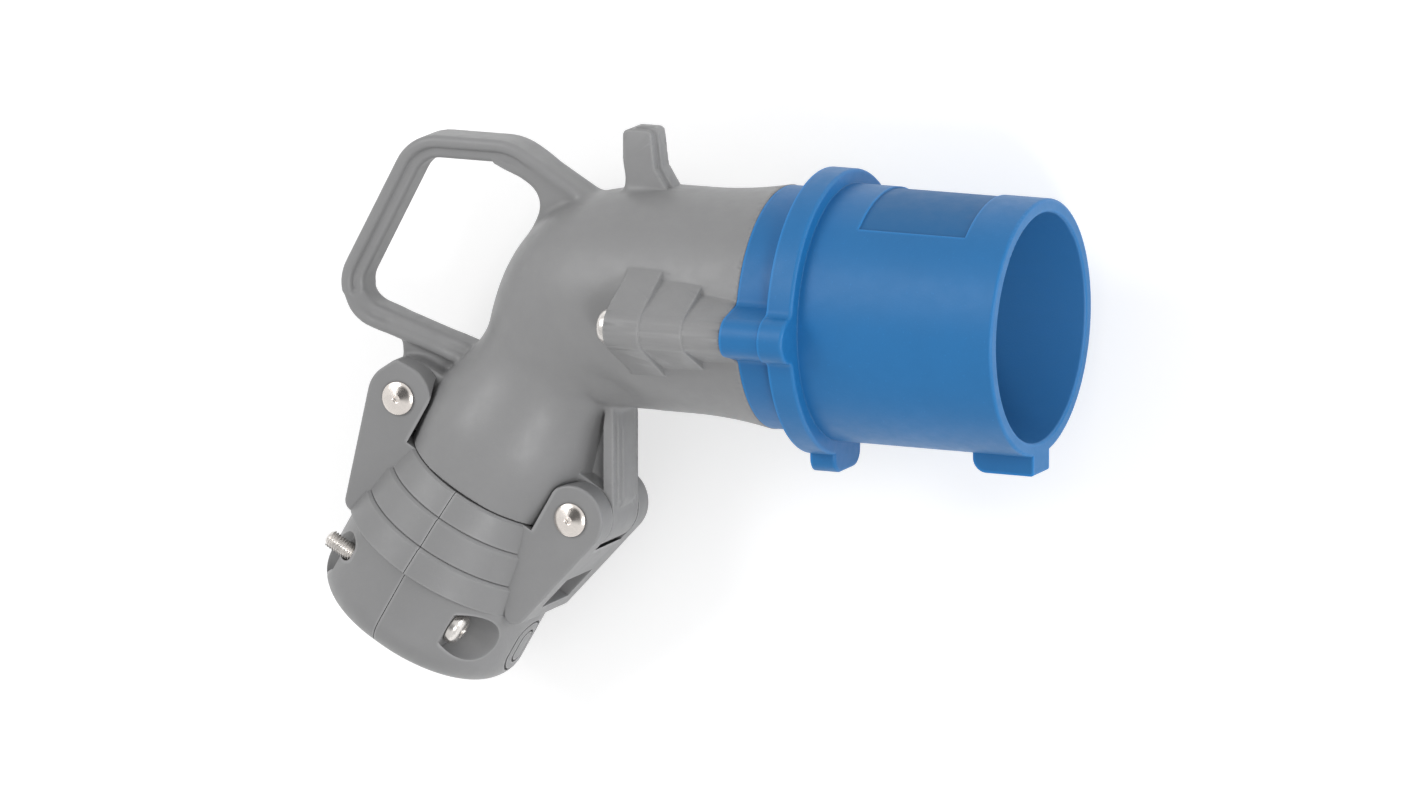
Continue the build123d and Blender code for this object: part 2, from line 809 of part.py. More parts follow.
# Places of the contacts on the face, earth towards the key
contact_places = {
    "earth": (-pitch_radius, 0),
    "line": (pitch_radius / 2, pitch_radius * sqrt(3) / 2),
    "neutral": (pitch_radius / 2, -pitch_radius * sqrt(3) / 2),
    "pilot": (0, 0),
}
contact_radii = {
    "earth": earth_radius,
    "line": contact_radius,
    "neutral": contact_radius,
    "pilot": pilot_radius,
}
contact_tips = {"earth": contact_tip, "line": contact_tip, "neutral": contact_tip, "pilot": pilot_tip}
terminal_radii = {
    "earth": terminal_radius,
    "line": terminal_radius,
    "neutral": terminal_radius,
    "pilot": pilot_terminal_radius,
}

with BuildPart() as pin_carrier:
    with BuildSketch(Plane.YZ.offset(plate_front)):
        Circle(carrier_radius)
    extrude(amount=carrier_rim - plate_front)
    with BuildSketch(Plane.YZ.offset(carrier_rim)):
        Circle(lip_radius - 0.2)
    extrude(amount=lip_thickness)
    for name, place in contact_places.items():
        with BuildSketch(Plane.YZ.offset(sleeve_floor + 1)):
            with Locations(place):
                Circle(contact_radii[name] + root_extra + running_fit)
        extrude(amount=plate_front - sleeve_floor - 2, mode=Mode.SUBTRACT)
        with BuildSketch(Plane.YZ.offset(plate_front)):
            with Locations(place):
                Circle(contact_radii[name] + collar_extra + fit_gap)
        extrude(amount=collar_length, mode=Mode.SUBTRACT)
    with BuildSketch(Plane.YZ.offset(plate_front)):
        with PolarLocations(carrier_screw_offset, 3):
            Circle(carrier_screw_radius)
    extrude(amount=carrier_screw_grip, mode=Mode.SUBTRACT)
pin_carrier.part.label = "pin_carrier"

with BuildPart() as carrier_plate:
    with BuildSketch(Plane.YZ.offset(plate_back)):
        Circle(carrier_radius)
        for name, place in contact_places.items():
            with Locations(place):
                Circle(terminal_radii[name] + fit_gap, mode=Mode.SUBTRACT)
        with PolarLocations(carrier_screw_offset, 3):
            Circle(carrier_screw_radius + fit_gap, mode=Mode.SUBTRACT)
    extrude(amount=plate_thickness)
carrier_plate.part.label = "carrier_plate"

with BuildPart() as carrier_screws:
    with BuildSketch(Plane.YZ.offset(plate_back)):
        with PolarLocations(carrier_screw_offset, 3):
            Circle(carrier_screw_radius)
    extrude(amount=plate_thickness + carrier_screw_grip - 0.5)
    with BuildSketch(Plane.YZ.offset(plate_back)):
        with PolarLocations(carrier_screw_offset, 3):
            Circle(1.75 * carrier_screw_radius)
    extrude(amount=-2.4)
carrier_screws.part.label = "carrier_screws"


def contact_pin(name):
    """Turned pin with a rounded tip, a collar and a tunnel terminal behind it"""
    y, z = contact_places[name]
    radius = contact_radii[name]
    terminal = terminal_radii[name]
    tip = contact_tips[name]
    with BuildPart() as pin:
        with BuildSketch(Plane(origin=(0, y, z), x_dir=(1, 0, 0), z_dir=(0, 0, 1))):
            with BuildLine():
                Line((tip, 0), (tip, radius - 2))
                RadiusArc((tip, radius - 2), (tip - 2, radius), -2)
                Polyline(
                    (tip - 2, radius),
                    (sleeve_floor, radius),
                    (sleeve_floor, radius + root_extra),
                    (collar_front, radius + root_extra),
                    (collar_front, radius + collar_extra),
                    (plate_front, radius + collar_extra),
                    (plate_front, terminal),
                    (terminal_end, terminal),
                    (terminal_end, 0),
                    (tip, 0),
                )
            make_face()
        revolve(axis=Axis((0, y, z), (1, 0, 0)))
        with BuildSketch(Plane(origin=(terminal_end, y, z), x_dir=(0, 1, 0), z_dir=(1, 0, 0))):
            Circle(terminal - wire_wall)
        extrude(amount=wire_depth, mode=Mode.SUBTRACT)
        with BuildSketch(terminal_screw_plane(name)):
            Circle(terminal_screw_radii[name] + running_fit)
        extrude(amount=2 * terminal, mode=Mode.SUBTRACT)
    return pin


def terminal_screw_plane(name):
    """Plane on the pin's axis that faces outwards through its terminal"""
    y, z = contact_places[name]
    outward = (0, y, z) if (y, z) != (0, 0) else (0, 1, 0)
    return Plane(origin=(terminal_screw_at, y, z), x_dir=(1, 0, 0), z_dir=outward)


def terminal_screw(name):
    """Slotted grub screw that clamps the wire"""
    terminal = terminal_radii[name]
    radius = terminal_screw_radii[name]
    with BuildPart() as screw:
        with BuildSketch(terminal_screw_plane(name).offset(terminal - wire_wall)):
            Circle(radius)
        extrude(amount=wire_wall + terminal_screw_stand)
        with BuildSketch(terminal_screw_plane(name).offset(terminal + terminal_screw_stand)):
            Rectangle(0.3 * radius, 2 * radius)
        extrude(amount=-0.5 * radius, mode=Mode.SUBTRACT)
    return screw


inner_pieces = []
for name in contact_places:
    pin = contact_pin(name)
    pin.part.label = f"{name}_pin"
    screw = terminal_screw(name)
    screw.part.label = f"{name}_terminal_screw"
    inner_pieces += [pin.part, screw.part]

# Every piece turned about the plug's axis on to its side, and written
pieces = [
    housing.part,
    sleeve.part,
    upper_jaw.part,
    lower_jaw.part,
    upper_hinge_pin.part,
    lower_hinge_pin.part,
    near_clamp_screw.part,
    far_clamp_screw.part,
    near_clamp_nut.part,
    far_clamp_nut.part,
    near_sleeve_screw.part,
    far_sleeve_screw.part,
    sleeve_gasket.part,
    cable_seal.part,
    pin_carrier.part,
    carrier_plate.part,
    carrier_screws.part,
] + inner_pieces
os.makedirs("parts", exist_ok=True)
for piece in pieces:
    piece.location = Location((0, 0, 0), (degrees(lean), 0, 0))
    export_step(piece, f"parts/{piece.label}.step")
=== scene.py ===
"""Industrial pin and sleeve plug on a pale floor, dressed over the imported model."""
import json
from math import cos, pi, radians, sin, sqrt

import bmesh
import bpy
from mathutils import Matrix, Vector


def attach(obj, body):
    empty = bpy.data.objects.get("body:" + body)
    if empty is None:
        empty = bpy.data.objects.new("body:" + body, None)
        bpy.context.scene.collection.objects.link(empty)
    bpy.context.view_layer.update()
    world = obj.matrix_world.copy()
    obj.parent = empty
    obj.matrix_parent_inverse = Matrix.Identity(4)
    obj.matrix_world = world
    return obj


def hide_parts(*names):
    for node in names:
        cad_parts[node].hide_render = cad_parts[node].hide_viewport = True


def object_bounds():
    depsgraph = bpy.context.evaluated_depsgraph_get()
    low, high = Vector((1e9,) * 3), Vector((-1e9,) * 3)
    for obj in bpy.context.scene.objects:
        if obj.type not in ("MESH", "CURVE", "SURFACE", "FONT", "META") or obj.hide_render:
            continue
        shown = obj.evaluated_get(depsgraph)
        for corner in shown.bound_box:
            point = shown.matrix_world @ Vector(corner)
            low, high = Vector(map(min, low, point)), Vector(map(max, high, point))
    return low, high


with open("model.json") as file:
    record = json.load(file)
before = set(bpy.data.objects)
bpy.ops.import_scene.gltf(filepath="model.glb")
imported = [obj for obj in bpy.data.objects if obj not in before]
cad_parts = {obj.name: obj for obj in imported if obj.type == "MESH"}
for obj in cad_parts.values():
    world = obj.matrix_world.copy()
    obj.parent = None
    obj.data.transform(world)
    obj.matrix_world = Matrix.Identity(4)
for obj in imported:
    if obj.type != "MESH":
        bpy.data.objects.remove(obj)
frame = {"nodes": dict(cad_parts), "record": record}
cad_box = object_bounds()
nodes = frame["nodes"]
record = frame["record"]

# Sizes and places on the plug are in mm on its own axes: X is zero at the sleeve's rim and falls
# towards the cable, Y points to the handle and Z to the near side. Blender works in metres
MM = 0.001

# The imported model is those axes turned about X, by the angle at which the plug rests on its side
LEAN = radians(10.472044421244098)
TURN = Matrix.Rotation(LEAN, 4, "X")

# The elbow's point, the way of the cable from there and the way across it
ELBOW = Vector((-133.3, 0, 0))
EXIT = Vector((-0.5, -sqrt(3) / 2, 0))
ACROSS = Vector((sqrt(3) / 2, -0.5, 0))


def exit_point(along, across=0.0, height=0.0):
    """Point measured from the elbow along the cable's way, across it and towards the near side"""
    return ELBOW + EXIT * along + ACROSS * across + Vector((0, 0, height))


def link(made):
    """Puts a new object in the scene"""
    bpy.context.scene.collection.objects.link(made)
    return made


# Materials

# The sleeve's label field along the plug, the radii that its floor lies between, and the bore
LABEL_FIELD = (-45.0, -13.6)
LABEL_FLOOR = (34.05, 35.3)
BORE_RADIUS = 31.85
STEP_SOFTNESS = 0.1

# Blender's wave texture has one wave in 2 pi / (20 x scale)
WAVE_FACTOR = 20


class Tree:
    """Small helper that builds a material's node tree in few words"""

    def __init__(self, name):
        self.material = bpy.data.materials.new(name)
        self.material.use_nodes = True
        self.tree = self.material.node_tree
        self.shader = self.tree.nodes["Principled BSDF"]
        self.place = self.tree.nodes.new("ShaderNodeTexCoord").outputs["Object"]

    def put(self, socket, value):
        """Links an input to a node's output, or sets it to a plain value"""
        if isinstance(value, bpy.types.NodeSocket):
            self.tree.links.new(value, socket)
        else:
            socket.default_value = value

    def node(self, kind, inputs, **settings):
        made = self.tree.nodes.new("ShaderNode" + kind)
        for key, value in settings.items():
            setattr(made, key, value)
        for key, value in inputs.items():
            self.put(made.inputs[key], value)
        return made

    def noise(self, scale, detail, rough):
        inputs = {"Vector": self.place, "Scale": scale, "Detail": detail, "Roughness": rough}
        return self.node("TexNoise", inputs).outputs["Fac"]

    def ramp(self, value, low, high, to_low=0.0, to_high=1.0):
        inputs = {"Value": value, "From Min": low, "From Max": high, "To Min": to_low, "To Max": to_high}
        return self.node("MapRange", inputs).outputs["Result"]

    def step(self, value, place, soft):
        """Nothing before a place and one past it, or the other way where the softness is negative"""
        return self.ramp(value, (place - soft) * MM, (place + soft) * MM)

    def math(self, kind, first, second):
        return self.node("Math", {0: first, 1: second}, operation=kind).outputs[0]

    def mix(self, share, first, second):
        return self.node("Mix", {0: share, 6: first, 7: second}, data_type="RGBA").outputs[2]

    def shadowing(self, reach, inside=False):
        """How open the space is within a reach of the surface, outside the piece or inside it"""
        made = self.node("AmbientOcclusion", {"Distance": reach * MM}, inside=inside, samples=6)
        return made.outputs["AO"]

    def rounded(self, radius, samples):
        return self.node("Bevel", {"Radius": radius * MM}, samples=samples).outputs["Normal"]

    def bump(self, height, strength, depth, normal=None):
        inputs = {"Height": height, "Strength": strength, "Distance": depth * MM}
        if normal:
            inputs["Normal"] = normal
        return self.node("Bump", inputs).outputs["Normal"]

    def feed(self, name, value):
        self.put(self.shader.inputs[name], value)


def shade(color, factor):
    """Colour made darker or lighter by a factor, with its alpha"""
    return tuple(min(1.0, c * factor) for c in color) + (1.0,)


def moulded_plastic(
    tree, color, rough, grain, speck, edge, crease_shade=0.5, edge_highlight=1.25, field=None, painted_bore_light=None
):
    """Moulded thermoplastic with spark texture, faint flow clouding and eased edges

    The grain is the scale of the texture, the speck the share of its light flecks and the edge the
    bevel's radius. Creases get painted shade and outer edges a painted highlight. Two masks mark
    the sleeve's label field and its bore; the bore gets painted light that makes it paler.
    """
    cloud = tree.noise(scale=28.0, detail=3.0, rough=0.6)
    patch = tree.noise(scale=260.0, detail=2.0, rough=0.6)
    fine = tree.noise(scale=grain, detail=2.0, rough=0.6)
    base = tree.mix(tree.ramp(cloud, 0.3, 0.7), shade(color, 0.96), shade(color, 1.04))
    base = tree.mix(tree.ramp(patch, 0.35, 0.65, to_high=0.12), base, shade(color, 0.82))
    flecks = tree.ramp(tree.noise(scale=grain * 0.8, detail=1.0, rough=0.5), 0.66, 0.80, to_high=speck)
    base = tree.mix(flecks, base, shade(color, 1.6))
    # Painted highlight along outer edges, found by occlusion inside the piece
    inward = tree.shadowing(reach=0.9, inside=True)
    base = tree.mix(tree.ramp(inward, 0.97, 0.6), base, shade(color, edge_highlight))
    # Painted shade in creases, found by occlusion outside the piece
    crease = tree.shadowing(reach=1.0)
    base = tree.mix(tree.ramp(crease, 0.92, 0.5, to_high=crease_shade), base, shade(color, 0.5))
    surface = tree.ramp(patch, 0.3, 0.7, rough - 0.04, rough + 0.04)
    if field:
        base = tree.mix(field, base, shade(color, 0.78))
        surface = tree.math("ADD", surface, tree.math("MULTIPLY", field, 0.08))
    # Painted light in the bore, which makes it paler than the skin
    if painted_bore_light:
        red, green, blue = color
        base = tree.mix(painted_bore_light, base, (3.4 * red, 1.3 * green, 1.2 * blue, 1.0))
    tree.feed("Base Color", base)
    tree.feed("Roughness", surface)
    tree.feed("Specular IOR Level", 0.45)
    tree.feed("Normal", tree.bump(fine, strength=0.5, depth=0.06, normal=tree.rounded(edge, samples=8)))
    return tree.material


def grey_plastic(name, color):
    return moulded_plastic(Tree(name), color, rough=0.42, grain=2300.0, speck=0.10, edge=0.3)


def sleeve_plastic(name, color):
    """Blue skin, a bare label field a little darker and duller, and painted light in the bore"""
    tree = Tree(name)
    along = tree.node("SeparateXYZ", {"Vector": tree.place}).outputs["X"]
    behind = tree.step(along, LABEL_FIELD[0], STEP_SOFTNESS)
    ahead = tree.step(along, LABEL_FIELD[1], -STEP_SOFTNESS)
    spread = tree.node("VectorMath", {0: tree.place, 1: (0.0, 1.0, 1.0)}, operation="MULTIPLY")
    radius = tree.node("VectorMath", {0: spread.outputs["Vector"]}, operation="LENGTH").outputs["Value"]
    above = tree.step(radius, LABEL_FLOOR[0], STEP_SOFTNESS / 2)
    below = tree.step(radius, LABEL_FLOOR[1], -STEP_SOFTNESS / 2)
    length = tree.math("MULTIPLY", behind, ahead)
    field = tree.math("MULTIPLY", length, tree.math("MULTIPLY", above, below))
    # Mask for the painted light in the bore
    painted_bore_light = tree.step(radius, BORE_RADIUS, -STEP_SOFTNESS / 2)
    return moulded_plastic(
        tree, color, rough=0.46, grain=1900.0, speck=0.22, edge=0.5,
        crease_shade=0.1, edge_highlight=1.5, field=field, painted_bore_light=painted_bore_light,
    )


def insert_plastic(name, color):
    return moulded_plastic(Tree(name), color, rough=0.55, grain=2300.0, speck=0.05, edge=0.3)


def plated_metal(name, color, rough, streak):
    """Zinc-plated metal with fine scratches and a little tarnish"""
    tree = Tree(name)
    cloud = tree.noise(scale=420.0, detail=3.0, rough=0.6)
    fine = tree.noise(scale=streak, detail=3.0, rough=0.7)
    tree.feed("Base Color", tree.mix(tree.ramp(cloud, 0.35, 0.65), shade(color, 0.86), shade(color, 1.06)))
    tree.feed("Metallic", 1.0)
    tree.feed("Roughness", tree.ramp(fine, 0.3, 0.7, rough - 0.08, rough + 0.1))
    tree.feed("Normal", tree.bump(fine, strength=0.12, depth=0.01, normal=tree.rounded(0.2, samples=4)))
    return tree.material


def turned_metal(name, color, rough, pitch, **wave):
    """Lathe-turned metal with fine tool lines a pitch apart, as the wave's settings lay them"""
    tree = Tree(name)
    cloud = tree.noise(scale=500.0, detail=3.0, rough=0.6)
    fine = tree.noise(scale=2400.0, detail=2.0, rough=0.7)
    scale = 2 * pi / (WAVE_FACTOR * pitch * MM)
    lines = tree.node("TexWave", {"Vector": tree.place, "Scale": scale, "Distortion": 0.0}, **wave)
    tree.feed("Base Color", tree.mix(tree.ramp(cloud, 0.35, 0.65), shade(color, 0.95), shade(color, 1.03)))
    tree.feed("Metallic", 1.0)
    tree.feed("Roughness", tree.ramp(fine, 0.3, 0.7, rough - 0.03, rough + 0.03))
    tree.feed("Normal", tree.bump(lines.outputs["Fac"], strength=0.08, depth=0.01))
    return tree.material


def soft_rubber(name):
    """Black rubber with a dull bloom and a little dust"""
    tree = Tree(name)
    cloud = tree.noise(scale=60.0, detail=3.0, rough=0.6)
    fine = tree.noise(scale=2600.0, detail=2.0, rough=0.6)
    dust = tree.ramp(tree.noise(scale=900.0, detail=2.0, rough=0.7), 0.6, 0.75, to_high=0.25)
    base = tree.mix(tree.ramp(cloud, 0.3, 0.7), (0.018, 0.018, 0.019, 1), (0.036, 0.036, 0.037, 1))
    tree.feed("Base Color", tree.mix(dust, base, (0.07, 0.07, 0.07, 1)))
    tree.feed("Roughness", tree.ramp(cloud, 0.3, 0.7, 0.62, 0.76))
    tree.feed("Normal", tree.bump(fine, strength=0.4, depth=0.08))
    return tree.material


GREY = (0.276, 0.276, 0.279)
JAW_GREY = tuple(c * 0.97 for c in GREY)
BLUE = (0.012, 0.160, 0.415)
INSERT = (0.46, 0.46, 0.44)
BRASS = (0.78, 0.58, 0.30)
ZINC = (0.80, 0.77, 0.74)
STEEL = (0.90, 0.84, 0.79)
LINES_ALONG_X = {"wave_type": "BANDS", "bands_direction": "X"}
RINGS_ABOUT_Z = {"wave_type": "RINGS", "rings_direction": "Z"}
finishes = {
    "housing_grey": grey_plastic("housing_grey_plastic", GREY),
    "jaw_grey": grey_plastic("jaw_grey_plastic", JAW_GREY),
    "sleeve_blue": sleeve_plastic("sleeve_blue_plastic", BLUE),
    "insert_grey": insert_plastic("insert_grey_plastic", INSERT),
    "seal_rubber": soft_rubber("seal_black_rubber"),
    "contact_brass": turned_metal("turned_brass", BRASS, rough=0.24, pitch=0.18, **LINES_ALONG_X),
    "plated_steel": plated_metal("zinc_plated_steel", ZINC, rough=0.30, streak=1300.0),
}
pin_steel = turned_metal("turned_pin_steel", STEEL, rough=0.22, pitch=0.22, **RINGS_ABOUT_Z)
slot_of = {s["node"]: s["material_slot"] for s in record["subparts"]}
for name, node in nodes.items():
    node.data.materials.clear()
    node.data.materials.append(finishes[slot_of[name]])


# Housing with its junctions run together, as a moulding's are. Where a size pairs two places along
# the plug, they are counted back from the rim

VOXEL = 0.32
RUNS = 200
HOUSING_TRIANGLES = 180000

# Zones that are run together, each a centre, the radius up to which it is whole and the one where
# it ends: the elbow, the crotch between spout and strut, and the upper lug's root at the handle
ELBOW_ZONE = (Vector((-136, 3, 0)), 33, 39)
CROTCH_ZONE = (Vector((-129, -27, 0)), 8, 13)
LUG_ROOT_ZONE = (Vector((-186, -18, 0)), 8, 13)
LUG_ROOT_SHARE = 0.7

# The elbow's zone sets in behind the barrel and fades out towards the strut
BEHIND_BARREL = (107, 112)
ABOVE_STRUT = (-31, -20)

# The back end of the side bosses, the flanks beside their crest and their stand from the axis
BOSS_LEVEL = -1.3
BOSS_END = (104, 108)
BOSS_FLANKS = (7, 11)
BOSS_STAND = (22, 25)
BOSS_SHARE = 0.4

# The filled-out underside, by how squarely a point looks down, its place and its radius
FILLED_DOWN = (0.60, 0.72)
FILLED_FROM = (103, 107)
FILLED_WITHIN = (32, 34)
MIDDLE_DOWN = (0.82, 0.90)
MIDDLE_CRISP = 0.8

# The block that fills it: rows counted back from the rim, turns about the barrel in degrees, and
# its radius and depth with the stretches over which they change
FILL_ROWS = range(104, 129, 4)
FILL_TURNS = range(-45, 46, 5)
FILL_RADIUS = 31.2
FILL_TAPER = 2.2
TAPER_TURNS = (20, 45)
TAPER_ALONG = (106, 124)
FILL_SKIN = 0.3
FILL_DEPTH = 7.0
DEPTH_ALONG = (104, 112)


def baked(made):
    """Mesh of a piece with its modifiers worked in"""
    bpy.context.view_layer.update()
    shape = bpy.data.meshes.new_from_object(made.evaluated_get(bpy.context.evaluated_depsgraph_get()))
    made.modifiers.clear()
    made.data = shape
    return shape


def eased(value, low, high):
    """Nothing below the low value, one above the high one, and a soft step between"""
    share = min(1.0, max(0.0, (value - low) / (high - low)))
    return share * share * (3 - 2 * share)


def faded(value, whole, end):
    """One up to the first value, nothing past the second, and a soft step between"""
    return eased(-value, -end, -whole)


def near(point, zone):
    """One at a zone's centre and nothing outside it"""
    centre, whole, end = zone
    return faded((point - centre).length, whole, end)


def junction_share(point):
    """How far a point of the housing is run into its neighbours, from nothing to one"""
    x, y, z = point
    elbow = near(point, ELBOW_ZONE) * eased(-x, *BEHIND_BARREL)
    lug_root = near(Vector((x, y, 0)), LUG_ROOT_ZONE)
    crotch = near(point, CROTCH_ZONE)
    boss = eased(-x, *BOSS_END) * eased(abs(y - BOSS_LEVEL), *BOSS_FLANKS) * eased(abs(z), *BOSS_STAND)
    return max(elbow * eased(y, *ABOVE_STRUT), LUG_ROOT_SHARE * lug_root, crotch, BOSS_SHARE * boss)


def underside_share(point):
    """How far a point lies on the filled-out underside, and how soft it is there"""
    x, y, z = point
    radius = Vector((y, z)).length
    down = -y / max(radius, 1)
    filled = eased(down, *FILLED_DOWN) * eased(-x, *FILLED_FROM) * faded(radius, *FILLED_WITHIN)
    return filled, filled * (1 - MIDDLE_CRISP * eased(down, *MIDDLE_DOWN))


def add_underside(form):
    """The barrel's underside runs on to the strut, so the hollow between them is filled out"""
    outer, inner = [], []
    for back in FILL_ROWS:
        depth = FILL_SKIN + FILL_DEPTH * eased(back, *DEPTH_ALONG)
        for rows, deep in ((outer, 0.0), (inner, depth)):
            ring = []
            for turn in FILL_TURNS:
                taper = FILL_TAPER * eased(abs(turn), *TAPER_TURNS) * eased(back, *TAPER_ALONG)
                radius = FILL_RADIUS - deep - taper
                point = Vector((-back, -radius * cos(radians(turn)), radius * sin(radians(turn))))
                ring.append(form.verts.new(TURN @ point * MM))
            rows.append(ring)
    for rows in (outer, inner):
        for row, after in zip(rows, rows[1:]):
            for k in range(len(row) - 1):
                form.faces.new([row[k], row[k + 1], after[k + 1], after[k]])

    # Walls close the first row, the last row and the two ends of the rows
    edges = []
    for rows in (outer, inner):
        edges.append([rows[0], rows[-1], [row[0] for row in rows], [row[-1] for row in rows]])
    for above, below in zip(*edges):
        for k in range(len(above) - 1):
            form.faces.new([above[k], above[k + 1], below[k + 1], below[k]])


def share_out(made):
    """Vertex groups for the points that are run together and for those that keep to the solid"""
    back_turn = TURN.inverted()
    soft = made.vertex_groups.new(name="soft")
    crisp = made.vertex_groups.new(name="crisp")
    shares = {}
    for v in made.data.vertices:
        point = back_turn @ v.co / MM
        share = junction_share(point)
        filled, softened = underside_share(point)
        pair = (round(max(share, softened), 1), round(1 - max(share, filled), 1))
        shares.setdefault(pair, []).append(v.index)
    for (share, rest), found in shares.items():
        soft.add(found, share, "ADD")
        crisp.add(found, rest, "ADD")


def run_together(made):
    """Smooths the soft points and snaps the crisp ones to the solid"""
    run = made.modifiers.new("run", "SMOOTH")
    run.factor = 0.5
    run.iterations = RUNS
    run.vertex_group = "soft"
    snap = made.modifiers.new("snap", "SHRINKWRAP")
    snap.target = nodes["housing"]
    snap.wrap_method = "NEAREST_SURFACEPOINT"
    snap.vertex_group = "crisp"
    smooth = baked(made)
    for face in smooth.polygons:
        face.use_smooth = True
    return smooth


def thin_out(made, smooth):
    """Fewer triangles, which keep the smooth mesh's normals"""
    source = link(bpy.data.objects.new("smooth_source", smooth))
    made.data = smooth.copy()
    fewer = made.modifiers.new("fewer", "DECIMATE")
    fewer.ratio = min(1.0, HOUSING_TRIANGLES / (2 * len(smooth.polygons)))
    normals = made.modifiers.new("normals", "DATA_TRANSFER")
    normals.object = source
    normals.use_loop_data = True
    normals.data_types_loops = {"CUSTOM_NORMAL"}
    normals.loop_mapping = "POLYINTERP_NEAREST"
    light = baked(made)
    bpy.data.objects.remove(source)
    return light


def add_soft_housing():
    """Moulded housing that stands for the solid one, in its place on the body"""
    made = link(bpy.data.objects.new("housing_moulded", nodes["housing"].data.copy()))
    form = bmesh.new()
    add_underside(form)
    bmesh.ops.recalc_face_normals(form, faces=form.faces[:])
    form.from_mesh(made.data)
    form.to_mesh(made.data)
    form.free()
    voxels = made.modifiers.new("voxels", "REMESH")
    voxels.mode = "VOXEL"
    voxels.voxel_size = VOXEL * MM
    baked(made)
    share_out(made)
    light = thin_out(made, run_together(made))
    light.materials.clear()
    light.materials.append(finishes["housing_grey"])
    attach(made, "body")
    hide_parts("housing")


add_soft_housing()


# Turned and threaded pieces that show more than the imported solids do

NEARLY_UPRIGHT = 0.9
HINGE_AT = 53.6
HINGE_OFFSET = 30.1
PIN_STEPS = 96

# The hinge pin's outline, as radius and height
PIN_SHANK = [(0, -16.0), (2.8, -16.0), (3.2, -15.5), (3.2, 16.1)]
PIN_HEAD_RIM = [(4.45, 16.1), (4.7, 16.3), (4.7, 16.55), (4.55, 16.72)]
PIN_HEAD_CONE = [(3.4, 17.04), (2.2, 17.34), (1.15, 17.58)]
PIN_STRUCK_RING = [(1.02, 17.50), (0.92, 17.48), (0.80, 17.60), (0.62, 17.60), (0.50, 17.42), (0, 17.36)]

# Screws: their places, and the heights of tip, thread and head along each one
CLAMP_SCREW_AT = 98.0
CLAMP_SCREW_SIDE = 20.0
CLAMP_SCREW = {"tip": -27.0, "thread_top": -3.0, "seat": 16.9}
SLEEVE_SCREW_AT = -111.0
SLEEVE_SCREW_SIDE = 39.7
SLEEVE_SCREW = {"tip": -50.0, "thread_top": -33.0, "seat": 0.0}
SCREW_STEPS = 64
THREAD_STEPS = 28
THREAD_RADIUS = 2.5
THREAD_DEPTH = 0.45
THREAD_PITCH = 0.8
THREAD_START = 0.15
TIP_RADIUS = 1.6
CORE_RADIUS = THREAD_RADIUS - THREAD_DEPTH + 0.02
NECK_RADIUS = 2.45
NECK_RISE = 0.3
HEAD_RADIUS = 4.75
HEAD_HEIGHT = 3.3
HEAD_EDGE = (0.25, 0.3)

# The thread's flanks, as share of the pitch and depth, and the head's dome, as drop and share of
# the head's height
FLANKS = ((0.0, THREAD_DEPTH), (0.36, 0.0), (0.5, 0.0), (0.86, THREAD_DEPTH))
HEAD_DOME = ((0.0, 0.45), (0.35, 0.68), (1.1, 0.87), (2.2, 0.97))

# The cross recess's half length, half width and height from the head's top, above it and at its floor
RECESS_MOUTH = (2.15, 0.575, 0.3)
RECESS_FLOOR = (1.0, 0.4, -2.1)


def frame_at(origin, axis):
    """Matrix that puts a piece's own Z along an axis of the plug"""
    z = (TURN.to_3x3() @ axis).normalized()
    level = abs(z.z) < NEARLY_UPRIGHT
    x = z.cross(Vector((0, 0, 1) if level else (1, 0, 0))).normalized()
    y = z.cross(x)
    place = TURN @ (origin * MM)
    return Matrix.Translation(place) @ Matrix((x, y, z)).transposed().to_4x4()


def lathe(form, profile, steps):
    """Turns (radius, height) points about Z into a closed form"""
    rings = []
    for radius, height in profile:
        if radius == 0:
            rings.append([form.verts.new((0, 0, height * MM))])
        else:
            angles = [2 * pi * k / steps for k in range(steps)]
            ring = [(radius * cos(angle) * MM, radius * sin(angle) * MM, height * MM) for angle in angles]
            rings.append([form.verts.new(point) for point in ring])
    for low, high in zip(rings, rings[1:]):
        for k in range(steps):
            after = (k + 1) % steps
            if len(low) == 1:
                corners = [low[0], high[after], high[k]]
            elif len(high) == 1:
                corners = [low[k], low[after], high[0]]
            else:
                corners = [low[k], low[after], high[after], high[k]]
            form.faces.new(corners)


def smoothed(mesh, sharp_from):
    """Smooth faces, apart from edges that turn by more than an angle in degrees"""
    for face in mesh.polygons:
        face.use_smooth = True
    mesh.set_sharp_from_angle(angle=radians(sharp_from))


def piece(name, form, matrix, body, finish, stands_for):
    """Object made of a form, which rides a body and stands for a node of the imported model"""
    mesh = bpy.data.meshes.new(name)
    bmesh.ops.recalc_face_normals(form, faces=form.faces[:])
    form.to_mesh(mesh)
    form.free()
    mesh.materials.append(finish)
    made = link(bpy.data.objects.new(name, mesh))
    made.matrix_world = matrix
    smoothed(mesh, 35)
    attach(made, body)
    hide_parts(stands_for)
    return made


def add_hinge_pin(name, side):
    """Pin with a low turned cone for a head, a small ring struck in its middle"""
    form = bmesh.new()
    lathe(form, PIN_SHANK + PIN_HEAD_RIM + PIN_HEAD_CONE + PIN_STRUCK_RING, PIN_STEPS)
    place = frame_at(exit_point(HINGE_AT, side * HINGE_OFFSET), Vector((0, 0, 1)))
    piece(name + "_turned", form, place, "body", pin_steel, name)


